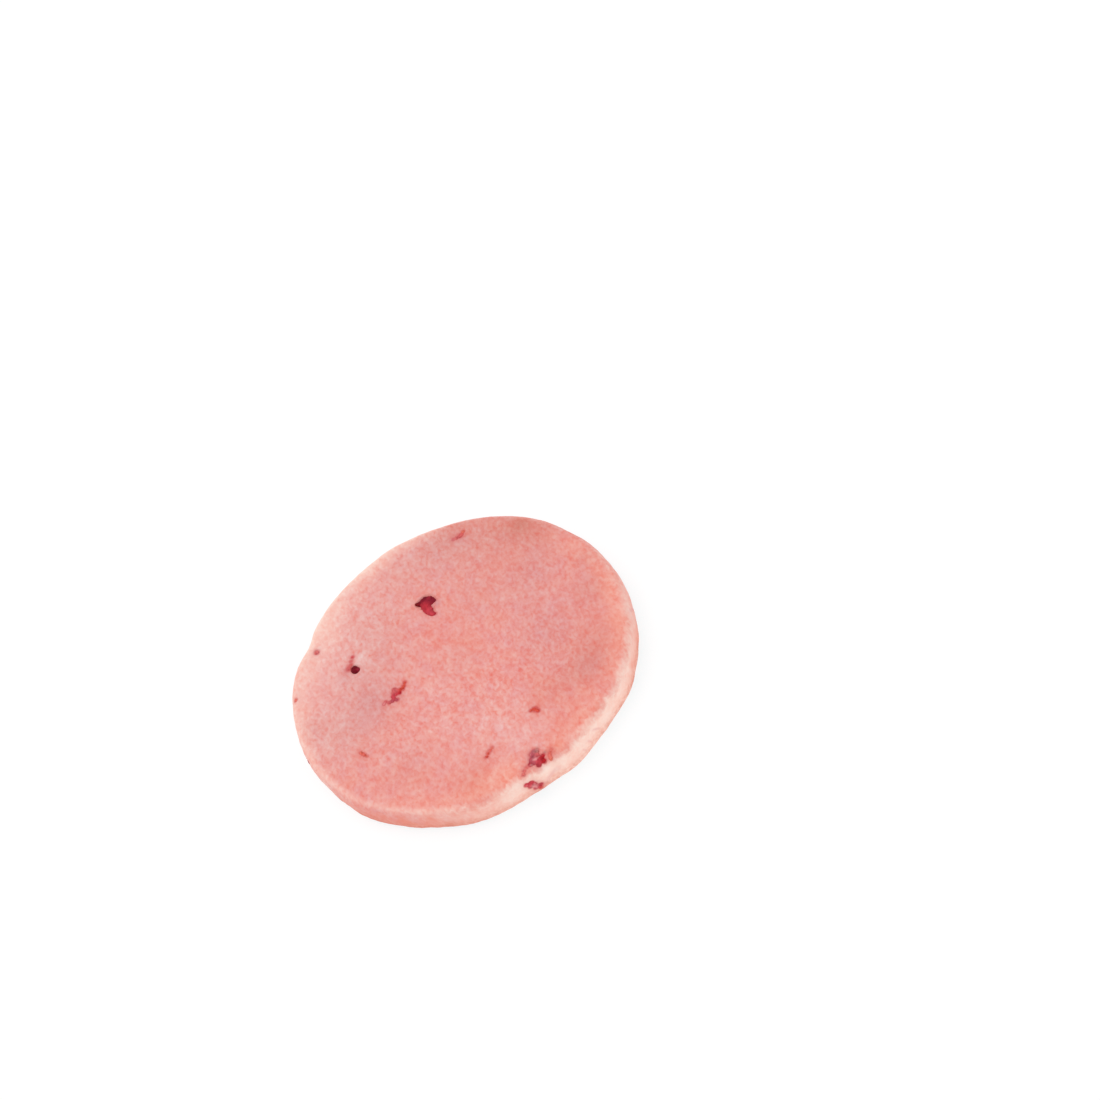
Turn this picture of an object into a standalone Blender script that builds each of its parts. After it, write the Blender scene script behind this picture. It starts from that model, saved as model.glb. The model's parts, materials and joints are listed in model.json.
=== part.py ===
"""Raspberry sable biscuit.

A thin round biscuit of pink shortbread dough, with pieces of dried raspberry baked into its
face and its side. Units are metres and +Z is up. The biscuit lies on its flat base, and the
origin is in the middle of that base. The front is towards -Y.
"""

import math

import bmesh
import bpy
from mathutils import Matrix, Vector, noise
from mathutils.bvhtree import BVHTree

MM = 0.001

# Driving dimensions
RADIUS = 30.0 * MM
THICKNESS = 5.0 * MM
TOP_ROUND = 1.5 * MM
BASE_ROUND = 0.8 * MM
SIDE_BULGE = 0.12 * MM

# How finely the turned dough is divided
TURN_STEPS = 100
FACE_RINGS = 8
TOP_ARC_STEPS = 5
SIDE_RINGS = 4
BASE_ARC_STEPS = 3

# Swells and dents of the outline: direction and spread in degrees, depth in millimetres
OUTLINE_WAVES = (
    (2, 7, -0.16),
    (21, 6, -0.30),
    (47, 12, 0.13),
    (88, 5, 0.25),
    (98, 10, 0.12),
    (113, 8, 0.12),
    (134, 3.4, -0.64),
    (147, 5, 0.28),
    (157, 6, 0.16),
    (208, 5, 0.25),
    (224, 12, 0.12),
    (248, 6, 0.38),
    (268, 6, -0.46),
    (276.5, 2.5, -0.20),
    (285, 3.5, 0.16),
    (297, 6, -0.20),
    (313, 5, 0.34),
    (325, 9, 0.26),
)

# The face's slow waves, and its own swells and hollows: x, y, radius and height in millimetres
FACE_WAVE_LENGTH = 13.0 * MM
FACE_WAVE_HEIGHT = 0.12 * MM
FACE_SWELLS = (
    (-12.5, -1.6, 4.5, -0.12),
    (8.0, -4.0, 7.0, -0.12),
    (-4.0, -8.0, 8.0, 0.10),
    (2.6, -29.0, 3.0, 0.16),
)

# The side's soft lumps
LUMP_LENGTH = 2.6 * MM
LUMP_DEPTH = 0.16 * MM

# Hollows round the raspberry pieces of the face: x, y, long and short radius, turn in
# degrees and depth, in millimetres
FACE_PITS = {
    "bead_hollow": (-16.80, 9.50, 1.90, 1.40, 35, 0.16),
    "drupelet_pit_wide": (0.55, 14.60, 2.00, 1.50, 0, 0.40),
    "drupelet_pit_narrow": (0.38, 12.65, 1.85, 1.05, 98, 0.38),
    "bead_pit": (-15.45, 10.28, 1.20, 0.98, 100, 0.70),
    "cluster_pit": (1.95, -27.05, 2.00, 1.60, 60, 0.16),
    "left_pit": (-19.52, 18.25, 0.75, 0.60, 20, 0.35),
}

# A pit's bowl is part of a ball whose middle lies above the face, by this share of the depth
PIT_LIFT = 0.3

# Raspberry pieces in the face, each a row of lobes: x, y and radius in millimetres.
# The first number is how far the lobes rise out of the face there, in millimetres.
FACE_FRUIT = {
    "drupelet": (0.10, (
        (-1.00, 15.22, 0.26), (-0.72, 14.95, 0.30), (-0.38, 15.06, 0.46), (0.14, 15.22, 0.56),
        (0.75, 15.32, 0.60), (1.32, 14.98, 0.60), (1.70, 14.34, 0.56), (1.92, 13.78, 0.46),
        (1.28, 13.88, 0.50), (0.60, 14.55, 0.66), (0.00, 14.40, 0.64), (0.40, 13.90, 0.50),
        (-0.26, 13.68, 0.56), (-0.24, 13.02, 0.60), (0.36, 13.18, 0.58), (0.58, 12.72, 0.50),
        (-0.02, 12.36, 0.60), (0.30, 11.82, 0.56), (0.52, 11.40, 0.46), (0.84, 11.10, 0.34),
    )),
    "bead": (-0.12, (
        (-15.78, 10.15, 0.64), (-15.42, 10.80, 0.58), (-15.02, 10.08, 0.60), (-15.48, 9.68, 0.52),
    )),
    "bead_streak": (0.06, (
        (-15.60, 11.55, 0.32), (-16.40, 11.10, 0.34), (-15.38, 12.20, 0.26), (-14.78, 12.86, 0.38),
    )),
    "crack": (0.14, (
        (-9.55, 1.80, 0.30), (-10.00, 1.28, 0.40), (-10.42, 0.90, 0.42), (-10.80, 1.05, 0.36),
        (-11.15, 0.54, 0.42), (-11.32, 1.23, 0.40), (-11.65, 1.73, 0.44), (-11.98, 1.20, 0.44),
        (-11.75, 0.70, 0.42), (-12.32, 0.70, 0.44), (-12.45, 0.07, 0.42), (-12.07, -0.41, 0.34),
        (-12.84, -0.09, 0.36), (-13.42, -0.04, 0.32), (-13.86, 0.48, 0.28), (-14.31, 0.29, 0.24),
    )),
    "cluster": (0.10, (
        (2.22, -25.56, 0.48), (1.70, -25.85, 0.42), (2.72, -25.85, 0.34), (1.70, -26.32, 0.44),
        (1.24, -26.66, 0.42), (1.06, -27.10, 0.44), (0.60, -27.52, 0.46), (1.32, -27.60, 0.44),
        (2.25, -27.22, 0.48), (3.10, -27.28, 0.48), (2.75, -27.62, 0.46), (2.80, -28.28, 0.50),
        (2.15, -27.85, 0.44), (1.77, -28.32, 0.48), (2.35, -26.55, 0.44), (1.78, -27.00, 0.44),
    )),
    "cluster_tail": (0.08, ((-0.10, -27.60, 0.34), (-0.70, -27.95, 0.32), (-1.14, -28.45, 0.28))),
    "cluster_streak": (0.10, (
        (4.80, -27.20, 0.26), (4.35, -27.62, 0.28), (4.06, -28.06, 0.30), (3.95, -28.58, 0.28),
        (3.84, -29.05, 0.24),
    )),
    "fleck": (0.15, (
        (5.42, -18.05, 0.30), (5.95, -18.05, 0.36), (6.20, -18.45, 0.42), (6.38, -18.90, 0.34),
    )),
    "front_slit": (0.12, (
        (-3.04, -20.28, 0.28), (-3.54, -20.54, 0.32), (-4.08, -20.82, 0.34), (-4.60, -21.30, 0.28),
    )),
    "left_slit": (0.12, (
        (-21.64, -5.98, 0.28), (-21.47, -6.42, 0.30), (-21.28, -6.88, 0.30), (-21.05, -7.34, 0.24),
    )),
    "back_sliver": (0.14, (
        (10.25, 23.40, 0.28), (10.85, 23.28, 0.32), (11.42, 23.20, 0.36), (11.82, 23.38, 0.38),
        (12.35, 23.80, 0.28),
    )),
    "left_spot": (0.02, ((-19.72, 18.28, 0.48), (-19.32, 18.20, 0.48))),
    "left_edge_spot": (0.08, ((-26.58, 11.68, 0.36),)),
}

# Raspberry pieces in the side, each a row of lobes: direction in degrees, height and radius
# in millimetres. The back is finished like the front, with two smaller pieces.
SIDE_FRUIT = {
    "side_piece": (
        (266.7, 3.50, 0.36), (267.5, 3.22, 0.46), (268.6, 3.28, 0.46), (267.7, 2.72, 0.44),
        (268.5, 2.60, 0.42), (269.1, 2.75, 0.42), (269.3, 2.25, 0.46), (269.0, 1.76, 0.42),
        (270.0, 1.80, 0.48), (270.8, 1.95, 0.38), (270.3, 1.20, 0.34),
    ),
    "side_piece_back": (
        (71.5, 2.70, 0.42), (72.7, 2.40, 0.52), (73.8, 2.75, 0.40),
    ),
    "side_piece_hidden": (
        (178.2, 3.30, 0.36), (179.4, 2.90, 0.50), (180.5, 3.05, 0.36),
    ),
}
SIDE_FRUIT_RISE = 0.15

# A lobe is a lumpy ball, flatter than it is wide
LOBE_FLATNESS = 0.72
LOBE_LUMPS = 0.14
NOISE_SHIFT = Vector((3.1, 7.7, 1.9))

DOUGH_COLOUR = (0.831, 0.342, 0.305, 1.0)
DOUGH_ROUGHNESS = 0.85


def clear_scene():
    """Remove whatever the open file holds."""
    for obj in list(bpy.data.objects):
        bpy.data.objects.remove(obj, do_unlink=True)


def new_collection(name):
    collection = bpy.data.collections.new(name)
    bpy.context.scene.collection.children.link(collection)
    return collection


def remove_collection(collection):
    """Remove a collection together with the objects in it."""
    for obj in list(collection.objects):
        bpy.data.objects.remove(obj, do_unlink=True)
    bpy.data.collections.remove(collection)


def smooth_step(low, high, value):
    t = min(max((value - low) / (high - low), 0.0), 1.0)
    return t * t * (3.0 - 2.0 * t)


def outline_move(angle):
    """How far the outline stands out from the true circle, in the direction of angle."""
    degrees = math.degrees(angle)
    move = 0.0
    for centre, spread, depth in OUTLINE_WAVES:
        gap = (degrees - centre + 180.0) % 360.0 - 180.0
        move += depth * MM * math.exp(-0.5 * (gap / spread) ** 2)
    return move


def face_relief(x, y):
    """Height of the face above its mean plane."""
    wave = noise.noise(Vector((x, y, 0.0)) / FACE_WAVE_LENGTH + NOISE_SHIFT)
    height = wave * FACE_WAVE_HEIGHT
    for centre_x, centre_y, radius, swell in FACE_SWELLS:
        gap = math.hypot(x / MM - centre_x, y / MM - centre_y) / radius
        height += swell * MM * math.exp(-gap * gap)
    return height


def side_lumps(angle, z):
    """Radial lumps of the side, none at the base and at the face."""
    spot = Vector((RADIUS * math.cos(angle), RADIUS * math.sin(angle), z))
    lump = noise.noise(spot / LUMP_LENGTH + NOISE_SHIFT) * LUMP_DEPTH
    return lump * smooth_step(0.0, BASE_ROUND, z) * smooth_step(THICKNESS, THICKNESS - TOP_ROUND, z)


def profile():
    """Radius and height from the middle of the face, over the edge, to the middle of the base."""
    wall = RADIUS - SIDE_BULGE
    face_radius = wall - TOP_ROUND
    base_radius = wall - BASE_ROUND
    side_top = THICKNESS - TOP_ROUND
    points = [(face_radius * ring / FACE_RINGS, THICKNESS) for ring in range(FACE_RINGS)]
    for step in range(TOP_ARC_STEPS + 1):
        turn = 0.5 * math.pi * step / TOP_ARC_STEPS
        points.append((face_radius + TOP_ROUND * math.sin(turn), side_top + TOP_ROUND * math.cos(turn)))
    for ring in range(1, SIDE_RINGS):
        t = ring / SIDE_RINGS
        points.append((wall + SIDE_BULGE * math.sin(math.pi * t), side_top + (BASE_ROUND - side_top) * t))
    for step in range(BASE_ARC_STEPS + 1):
        turn = 0.5 * math.pi * step / BASE_ARC_STEPS
        points.append((base_radius + BASE_ROUND * math.cos(turn), BASE_ROUND * (1.0 - math.sin(turn))))
    points.append((0.5 * base_radius, 0.0))
    points.append((0.0, 0.0))
    return points


def apply_modifiers(obj):
    """Turn an object's modifiers into its mesh."""
    depsgraph = bpy.context.evaluated_depsgraph_get()
    mesh = bpy.data.meshes.new_from_object(obj.evaluated_get(depsgraph))
    obj.modifiers.clear()
    old_mesh = obj.data
    obj.data = mesh
    bpy.data.meshes.remove(old_mesh)


def turned_dough(collection):
    """The plain round biscuit, turned from its profile."""
    mesh = bpy.data.meshes.new("biscuit")
    corners = [(radius, 0.0, height) for radius, height in profile()]
    mesh.from_pydata(corners, [(i, i + 1) for i in range(len(corners) - 1)], [])
    dough = bpy.data.objects.new("biscuit", mesh)
    collection.objects.link(dough)
    screw = dough.modifiers.new("turn", "SCREW")
    screw.axis = "Z"
    screw.angle = 2.0 * math.pi
    screw.steps = TURN_STEPS
    screw.render_steps = TURN_STEPS
    screw.use_merge_vertices = True
    screw.merge_threshold = 0.01 * MM
    apply_modifiers(dough)
    return dough


def make_uneven(dough):
    """Give the turned dough its uneven outline, its waves and its lumps."""
    for vertex in dough.data.vertices:
        x, y, z = vertex.co
        radius = math.hypot(x, y)
        angle = math.atan2(y, x)
        share = smooth_step(0.55 * RADIUS, RADIUS, radius)
        near_side = smooth_step(RADIUS - TOP_ROUND, RADIUS - SIDE_BULGE, radius)
        grown = radius + outline_move(angle) * share + side_lumps(angle, z) * near_side
        scale = grown / radius if radius > 0.0 else 1.0
        lift = face_relief(x * scale, y * scale) * smooth_step(BASE_ROUND, THICKNESS, z)
        vertex.co = (x * scale, y * scale, z + lift)


def ball(name, collection, matrix, detail, lumps=0.0):
    """A lumpy ball of radius one, set in place by matrix."""
    bm = bmesh.new()
    bmesh.ops.create_icosphere(bm, subdivisions=detail, radius=1.0)
    shift = matrix.translation / MM
    for vertex in bm.verts:
        vertex.co *= 1.0 + lumps * noise.noise(vertex.co * 1.3 + shift)
    bmesh.ops.transform(bm, matrix=matrix, verts=bm.verts)
    mesh = bpy.data.meshes.new(name)
    bm.to_mesh(mesh)
    bm.free()
    obj = bpy.data.objects.new(name, mesh)
    obj.display_type = "WIRE"
    obj.hide_render = True
    collection.objects.link(obj)


def face_spot(surface, x, y):
    """Point and outward direction of the face above x and y, in millimetres."""
    point, normal, _, _ = surface.ray_cast(Vector((x * MM, y * MM, 2.0 * THICKNESS)), Vector((0, 0, -1)))
    return point, normal


def side_spot(surface, direction, height):
    """Point and outward direction of the side, at a direction in degrees and a height."""
    angle = math.radians(direction)
    outward = Vector((math.cos(angle), math.sin(angle), 0.0))
    start = 2.0 * RADIUS * outward + Vector((0.0, 0.0, height * MM))
    point, normal, _, _ = surface.ray_cast(start, -outward)
    return point, normal


def add_pits(surface, collection):
    """Shallow bowls in the face, that the larger raspberry pieces lie in."""
    for name, (x, y, length, width, turn, depth) in FACE_PITS.items():
        point, _ = face_spot(surface, x, y)
        place = Matrix.Translation(point + Vector((0.0, 0.0, PIT_LIFT * depth * MM)))
        rotation = Matrix.Rotation(math.radians(turn), 4, "Z")
        size = Matrix.Diagonal((length * MM, width * MM, (1.0 + PIT_LIFT) * depth * MM, 1.0))
        ball(name, collection, place @ rotation @ size, detail=3)


def add_lobe(name, collection, spot, radius, rise):
    """A flattened lobe at a spot of the surface, risen out of it by rise, in millimetres."""
    point, normal = spot
    height = LOBE_FLATNESS * radius
    place = Matrix.Translation(point + normal * (rise - height) * MM)
    rotation = normal.to_track_quat("Z", "Y").to_matrix().to_4x4()
    size = Matrix.Diagonal((radius * MM, radius * MM, height * MM, 1.0))
    ball(name, collection, place @ rotation @ size, detail=2, lumps=LOBE_LUMPS)


def add_fruit(surface, collection):
    """All raspberry pieces, those of the face and those of the side."""
    for name, (rise, lobes) in FACE_FRUIT.items():
        for number, (x, y, radius) in enumerate(lobes):
            add_lobe(f"{name}_{number}", collection, face_spot(surface, x, y), radius, rise)
    for name, lobes in SIDE_FRUIT.items():
        for number, (direction, height, radius) in enumerate(lobes):
            spot = side_spot(surface, direction, height)
            add_lobe(f"{name}_{number}", collection, spot, radius, SIDE_FRUIT_RISE)


def combine(dough, collection, operation):
    """Cut a collection's shapes from the dough, or join them to it."""
    boolean = dough.modifiers.new(collection.name, "BOOLEAN")
    boolean.operation = operation
    boolean.operand_type = "COLLECTION"
    boolean.collection = collection
    boolean.solver = "EXACT"
    apply_modifiers(dough)
    remove_collection(collection)


def dough_material():
    material = bpy.data.materials.new("raspberry_dough")
    material.use_nodes = True
    shader = material.node_tree.nodes["Principled BSDF"]
    shader.inputs["Base Color"].default_value = DOUGH_COLOUR
    shader.inputs["Roughness"].default_value = DOUGH_ROUGHNESS
    shader.inputs["Metallic"].default_value = 0.0
    return material


def build():
    clear_scene()
    part = new_collection("raspberry_sable_biscuit")
    dough = turned_dough(part)
    make_uneven(dough)
    surface = BVHTree.FromObject(dough, bpy.context.evaluated_depsgraph_get())

    pits = new_collection("pit_cutters")
    add_pits(surface, pits)
    combine(dough, pits, "DIFFERENCE")

    fruit = new_collection("fruit_pieces")
    add_fruit(surface, fruit)
    combine(dough, fruit, "UNION")

    dough.data.shade_smooth()
    dough.data.materials.clear()
    dough.data.materials.append(dough_material())


build()
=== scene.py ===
"""Looks of the raspberry sable biscuit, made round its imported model.

The biscuit lies on its flat base with +Z up and its front towards -Y. Shapes are worked out in
millimetres, and every mesh is turned into metres when it is made.
"""

import json
import math

import bmesh
import bpy
import numpy as np
from mathutils import Matrix, Vector, noise

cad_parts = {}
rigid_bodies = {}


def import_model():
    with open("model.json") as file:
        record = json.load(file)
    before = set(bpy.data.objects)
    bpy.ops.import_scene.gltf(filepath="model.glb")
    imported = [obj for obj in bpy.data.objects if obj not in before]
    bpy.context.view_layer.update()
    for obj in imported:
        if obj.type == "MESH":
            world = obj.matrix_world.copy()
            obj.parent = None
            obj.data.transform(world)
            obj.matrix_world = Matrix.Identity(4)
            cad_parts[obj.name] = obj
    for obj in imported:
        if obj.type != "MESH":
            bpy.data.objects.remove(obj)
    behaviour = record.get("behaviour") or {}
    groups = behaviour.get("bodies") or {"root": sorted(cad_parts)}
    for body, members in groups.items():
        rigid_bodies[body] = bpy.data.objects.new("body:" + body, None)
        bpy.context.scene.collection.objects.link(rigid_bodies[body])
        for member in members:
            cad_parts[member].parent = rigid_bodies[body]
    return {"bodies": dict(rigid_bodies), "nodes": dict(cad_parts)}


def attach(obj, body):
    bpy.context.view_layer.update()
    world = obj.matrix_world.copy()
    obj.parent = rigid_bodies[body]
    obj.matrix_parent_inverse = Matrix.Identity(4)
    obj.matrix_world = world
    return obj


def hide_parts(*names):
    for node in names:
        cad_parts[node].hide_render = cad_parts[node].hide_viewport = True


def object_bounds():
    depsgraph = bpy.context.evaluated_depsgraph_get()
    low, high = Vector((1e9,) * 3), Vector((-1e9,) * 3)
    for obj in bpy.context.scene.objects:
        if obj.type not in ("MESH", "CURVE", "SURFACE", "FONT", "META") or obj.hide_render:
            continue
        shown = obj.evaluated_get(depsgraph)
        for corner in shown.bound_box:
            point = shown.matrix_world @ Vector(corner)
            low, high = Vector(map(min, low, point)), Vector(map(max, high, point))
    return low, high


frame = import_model()
cad_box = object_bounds()

MM = 0.001

# Form of the dough, as in the part
RADIUS = 30.0
THICKNESS = 5.0
TOP_ROUND = 1.5
BASE_ROUND = 0.8
SIDE_BULGE = 0.12
WALL_RADIUS = RADIUS - SIDE_BULGE
FACE_RADIUS = WALL_RADIUS - TOP_ROUND
BASE_RADIUS = WALL_RADIUS - BASE_ROUND
SIDE_TOP = THICKNESS - TOP_ROUND

# Ways along the section, from the edge of the face down to the edge of the base
ROUND_WAY = 0.5 * math.pi * TOP_ROUND
SIDE_WAY = ROUND_WAY + SIDE_TOP - BASE_ROUND
BASE_WAY = SIDE_WAY + 0.5 * math.pi * BASE_ROUND

# Swells and dents of the outline: direction and spread in degrees, depth
OUTLINE_WAVES = (
    (2, 7, -0.16), (21, 6, -0.3), (47, 12, 0.13), (88, 5, 0.25), (98, 10, 0.12), (113, 8, 0.12),
    (134, 3.4, -0.64), (147, 5, 0.28), (157, 6, 0.16), (208, 5, 0.25), (224, 12, 0.12),
    (248, 6, 0.38), (268, 6, -0.46), (276.5, 2.5, -0.2), (285, 3.5, 0.16), (297, 6, -0.2),
    (313, 5, 0.34), (325, 9, 0.26),
)

# The outline's swells and dents fade out towards the middle, from the edge to this share of it
OUTLINE_FADE = 0.55

# The face's slow waves, and its own swells and hollows: x, y, radius and height
FACE_WAVE_LENGTH = 13.0
FACE_WAVE_HEIGHT = 0.12
FACE_SWELLS = (
    (-12.5, -1.6, 4.5, -0.12), (8, -4, 7, -0.12), (-4, -8, 8, 0.1), (2.6, -29, 3, 0.16),
)

# The side's soft lumps
LUMP_LENGTH = 2.6
LUMP_DEPTH = 0.16
NOISE_SHIFT = (3.1, 7.7, 1.9)

# Hollows round the raspberry pieces: x, y, long and short radius, turn in degrees and depth
FACE_PITS = {
    "bead_hollow": (-16.80, 9.50, 1.90, 1.40, 35, 0.16),
    "drupelet_pit_wide": (0.55, 14.60, 2.00, 1.50, 0, 0.40),
    "drupelet_pit_narrow": (0.38, 12.65, 1.85, 1.05, 98, 0.38),
    "bead_pit": (-15.48, 10.20, 1.10, 0.92, 100, 0.62),
    "cluster_pit": (1.95, -27.05, 2.00, 1.60, 60, 0.16),
    "left_pit": (-19.52, 18.25, 0.75, 0.60, 20, 0.10),
}

# The ball that cuts a pit stays above the face by this share of the pit's depth
PIT_LIFT = 0.3


def linear(red, green, blue):
    """A colour from its values on a screen, 0 to 255."""
    return tuple((value / 255.0) ** 2.2 for value in (red, green, blue)) + (1.0,)


# Shades of raspberry. Pale is a painted highlight, used on the side piece.
SHADES = {name: linear(*values) for name, values in {
    "night": (110, 26, 38), "umber": (124, 30, 32), "violet": (140, 42, 58),
    "maroon": (128, 34, 48), "wine": (150, 42, 56), "crimson": (178, 52, 62),
    "scarlet": (180, 42, 48), "red": (198, 68, 78), "rose": (208, 98, 100), "plum": (184, 84, 94),
    "ember": (200, 70, 58), "orange": (212, 86, 72), "amber": (224, 114, 92),
    "blush": (226, 138, 138), "pale": (236, 168, 168), "dusk": (184, 118, 114),
    "mauve": (200, 112, 118),
}.items()}

# Raspberry pieces in the face. Each lobe is x, y, radius and shade. Rise is how far the lobes
# stand out, veil how much dough lies over the piece, and halo how deeply it stains the dough
# round it. Speckle is how strongly light and dark spots show in it.
FACE_FRUIT = {
    "drupelet": dict(rise=0.1, veil=0, halo=0.5, lobes=(
        (-1, 15.22, 0.26, "umber"), (-0.72, 14.95, 0.3, "umber"),
        (-0.38, 15.06, 0.46, "maroon"), (0.14, 15.22, 0.56, "maroon"),
        (0.75, 15.32, 0.6, "maroon"), (1.32, 14.98, 0.6, "wine"), (1.7, 14.34, 0.56, "maroon"),
        (1.92, 13.78, 0.46, "maroon"), (1.28, 13.88, 0.5, "wine"), (0.6, 14.55, 0.66, "wine"),
        (0, 14.4, 0.64, "crimson"), (0.4, 13.9, 0.5, "crimson"),
        (-0.26, 13.68, 0.56, "crimson"), (-0.24, 13.02, 0.6, "crimson"),
        (0.36, 13.18, 0.58, "crimson"), (0.58, 12.72, 0.5, "red"), (-0.02, 12.36, 0.6, "red"),
        (0.3, 11.82, 0.56, "red"), (0.52, 11.4, 0.46, "red"), (0.84, 11.1, 0.34, "crimson"),
    )),
    "bead": dict(rise=-0.12, veil=0, halo=0.45, lobes=(
        (-15.8, 10.32, 0.52, "night"), (-15.76, 10.64, 0.44, "night"),
        (-15.36, 10.86, 0.42, "night"), (-15.45, 10.24, 0.54, "umber"),
        (-15.04, 10.1, 0.46, "violet"), (-14.78, 9.88, 0.3, "violet"),
        (-15.62, 10.04, 0.5, "night"),
    )),
    "bead_streak": dict(rise=0.06, veil=0.25, halo=0.7, lobes=(
        (-15.6, 11.55, 0.32, "ember"), (-16.4, 11.1, 0.34, "rose"),
        (-15.38, 12.2, 0.26, "rose"), (-14.78, 12.86, 0.38, "red"),
    )),
    "crack": dict(rise=0.14, veil=0, halo=0.8, lobes=(
        (-9.55, 1.8, 0.3, "orange"), (-10, 1.28, 0.4, "orange"),
        (-10.42, 0.9, 0.42, "ember"), (-10.8, 1.05, 0.36, "ember"),
        (-11.15, 0.54, 0.42, "scarlet"), (-11.32, 1.23, 0.4, "rose"), (-11.65, 1.73, 0.44, "rose"),
        (-11.98, 1.2, 0.44, "rose"), (-11.75, 0.7, 0.42, "red"),
        (-12.32, 0.7, 0.44, "red"), (-12.45, 0.07, 0.42, "red"),
        (-12.07, -0.41, 0.34, "plum"), (-12.84, -0.09, 0.36, "plum"), (-13.42, -0.04, 0.32, "rose"),
        (-13.86, 0.48, 0.28, "rose"), (-14.31, 0.29, 0.24, "blush"),
    )),
    "cluster": dict(rise=0.1, veil=0, halo=0.8, speckle=0.6, lobes=(
        (2.22, -25.56, 0.48, "mauve"), (1.7, -25.85, 0.42, "plum"), (2.72, -25.85, 0.34, "dusk"),
        (1.7, -26.32, 0.44, "plum"), (1.24, -26.66, 0.42, "plum"), (1.06, -27.1, 0.44, "plum"),
        (0.6, -27.52, 0.46, "crimson"), (1.32, -27.6, 0.44, "plum"),
        (2.25, -27.22, 0.48, "crimson"), (3.1, -27.28, 0.48, "scarlet"),
        (2.75, -27.62, 0.46, "scarlet"),
        (2.8, -28.28, 0.46, "scarlet"), (2.15, -27.85, 0.44, "red"),
        (1.77, -28.32, 0.48, "red"), (2.35, -26.55, 0.44, "rose"),
        (1.78, -27, 0.44, "mauve"),
    )),
    "cluster_tail": dict(rise=0.08, veil=0.5, halo=0.6, lobes=(
        (-0.1, -27.6, 0.34, "rose"), (-0.7, -27.95, 0.32, "rose"), (-1.14, -28.45, 0.28, "rose"),
    )),
    "cluster_streak": dict(rise=0.1, veil=0.7, halo=0.4, lobes=(
        (4.8, -27.2, 0.26, "amber"), (4.35, -27.62, 0.28, "orange"), (4.06, -28.06, 0.3, "orange"),
        (3.95, -28.58, 0.28, "amber"), (3.84, -29.05, 0.24, "amber"),
    )),
    "fleck": dict(rise=0.15, veil=0.1, halo=0.7, lobes=(
        (5.42, -18.05, 0.3, "orange"), (5.95, -18.05, 0.36, "ember"),
        (6.2, -18.45, 0.42, "ember"), (6.38, -18.9, 0.34, "ember"),
    )),
    "front_slit": dict(rise=0.12, veil=0.2, halo=0.6, lobes=(
        (-3.04, -20.28, 0.28, "amber"), (-3.54, -20.54, 0.32, "orange"),
        (-4.08, -20.82, 0.34, "orange"), (-4.6, -21.3, 0.28, "ember"),
    )),
    "left_slit": dict(rise=0.12, veil=0.4, halo=0.6, lobes=(
        (-21.64, -5.98, 0.28, "amber"), (-21.47, -6.42, 0.3, "orange"),
        (-21.28, -6.88, 0.3, "ember"), (-21.05, -7.34, 0.24, "amber"),
    )),
    "back_sliver": dict(rise=0.14, veil=0.35, halo=0.7, lobes=(
        (10.25, 23.4, 0.28, "mauve"), (10.85, 23.28, 0.32, "rose"), (11.42, 23.2, 0.36, "rose"),
        (11.82, 23.38, 0.38, "red"), (12.35, 23.8, 0.28, "amber"),
    )),
    "left_spot": dict(rise=0.02, veil=0.45, halo=0.5, lobes=(
        (-19.72, 18.28, 0.48, "rose"), (-19.32, 18.2, 0.48, "mauve"),
    )),
    "left_edge_spot": dict(rise=0.08, veil=0.7, halo=0.6, lobes=((-26.58, 11.68, 0.36, "amber"),)),
}

# Raspberry pieces in the side: direction in degrees, height, radius and shade
SIDE_FRUIT = {
    "side_piece": dict(rise=0.15, veil=0, halo=0.8, speckle=0.4, lobes=(
        (266.7, 3.5, 0.36, "red"), (267.5, 3.22, 0.46, "red"), (268.6, 3.28, 0.46, "red"),
        # The pale and blush lobes in the middle of the side piece are a painted highlight
        (267.7, 2.72, 0.44, "rose"), (268.5, 2.6, 0.42, "pale"), (269.1, 2.75, 0.42, "crimson"),
        (269.3, 2.25, 0.46, "blush"), (269, 1.76, 0.42, "red"), (270, 1.8, 0.48, "red"),
        (270.8, 1.95, 0.38, "crimson"), (270.3, 1.2, 0.34, "orange"),
    )),
    "side_piece_back": dict(rise=0.15, veil=0.1, halo=0.6, lobes=(
        (71.5, 2.7, 0.42, "crimson"), (72.7, 2.4, 0.52, "red"), (73.8, 2.75, 0.4, "wine"),
    )),
    "side_piece_hidden": dict(rise=0.15, veil=0.1, halo=0.6, lobes=(
        (178.2, 3.3, 0.36, "red"), (179.4, 2.9, 0.5, "crimson"), (180.5, 3.05, 0.36, "wine"),
    )),
}
FRUIT = {**FACE_FRUIT, **SIDE_FRUIT}

# How high a lobe is for its radius, how lumpy, and how close its lumps lie
LOBE_FLATNESS = 0.72
LOBE_LUMPS = 0.14
LOBE_LUMP_RATE = 1.3

# Which raspberry pieces are thin specks and streaks of skin. The others are flesh.
SPECKS = (
    "bead_streak", "cluster_tail", "cluster_streak", "fleck", "front_slit", "left_slit",
    "back_sliver", "left_spot", "left_edge_spot",
)


def smooth_step(low, high, value):
    t = np.clip((value - low) / (high - low), 0.0, 1.0)
    return t * t * (3.0 - 2.0 * t)


def noise_field(points, length):
    """Smooth noise at each point, from about -1 to 1, with waves of that length."""
    spots = points / length + np.array(NOISE_SHIFT)
    return np.array([noise.noise(spot) for spot in spots.tolist()])


def layered_noise(points, waves):
    """Smooth noise of several wave lengths together, each with its own depth."""
    return sum(depth * noise_field(points, length) for length, depth in waves)


def hill(values, width, middle=0.0):
    """A soft hill of height one that falls off on both sides of the middle."""
    return np.exp(-((values - middle) / width) ** 2)


def angle_gap(angle, degrees):
    """How far an angle in radians is from a direction in degrees, in degrees."""
    return (np.degrees(angle) - degrees + 180.0) % 360.0 - 180.0


# Form of the dough


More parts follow.
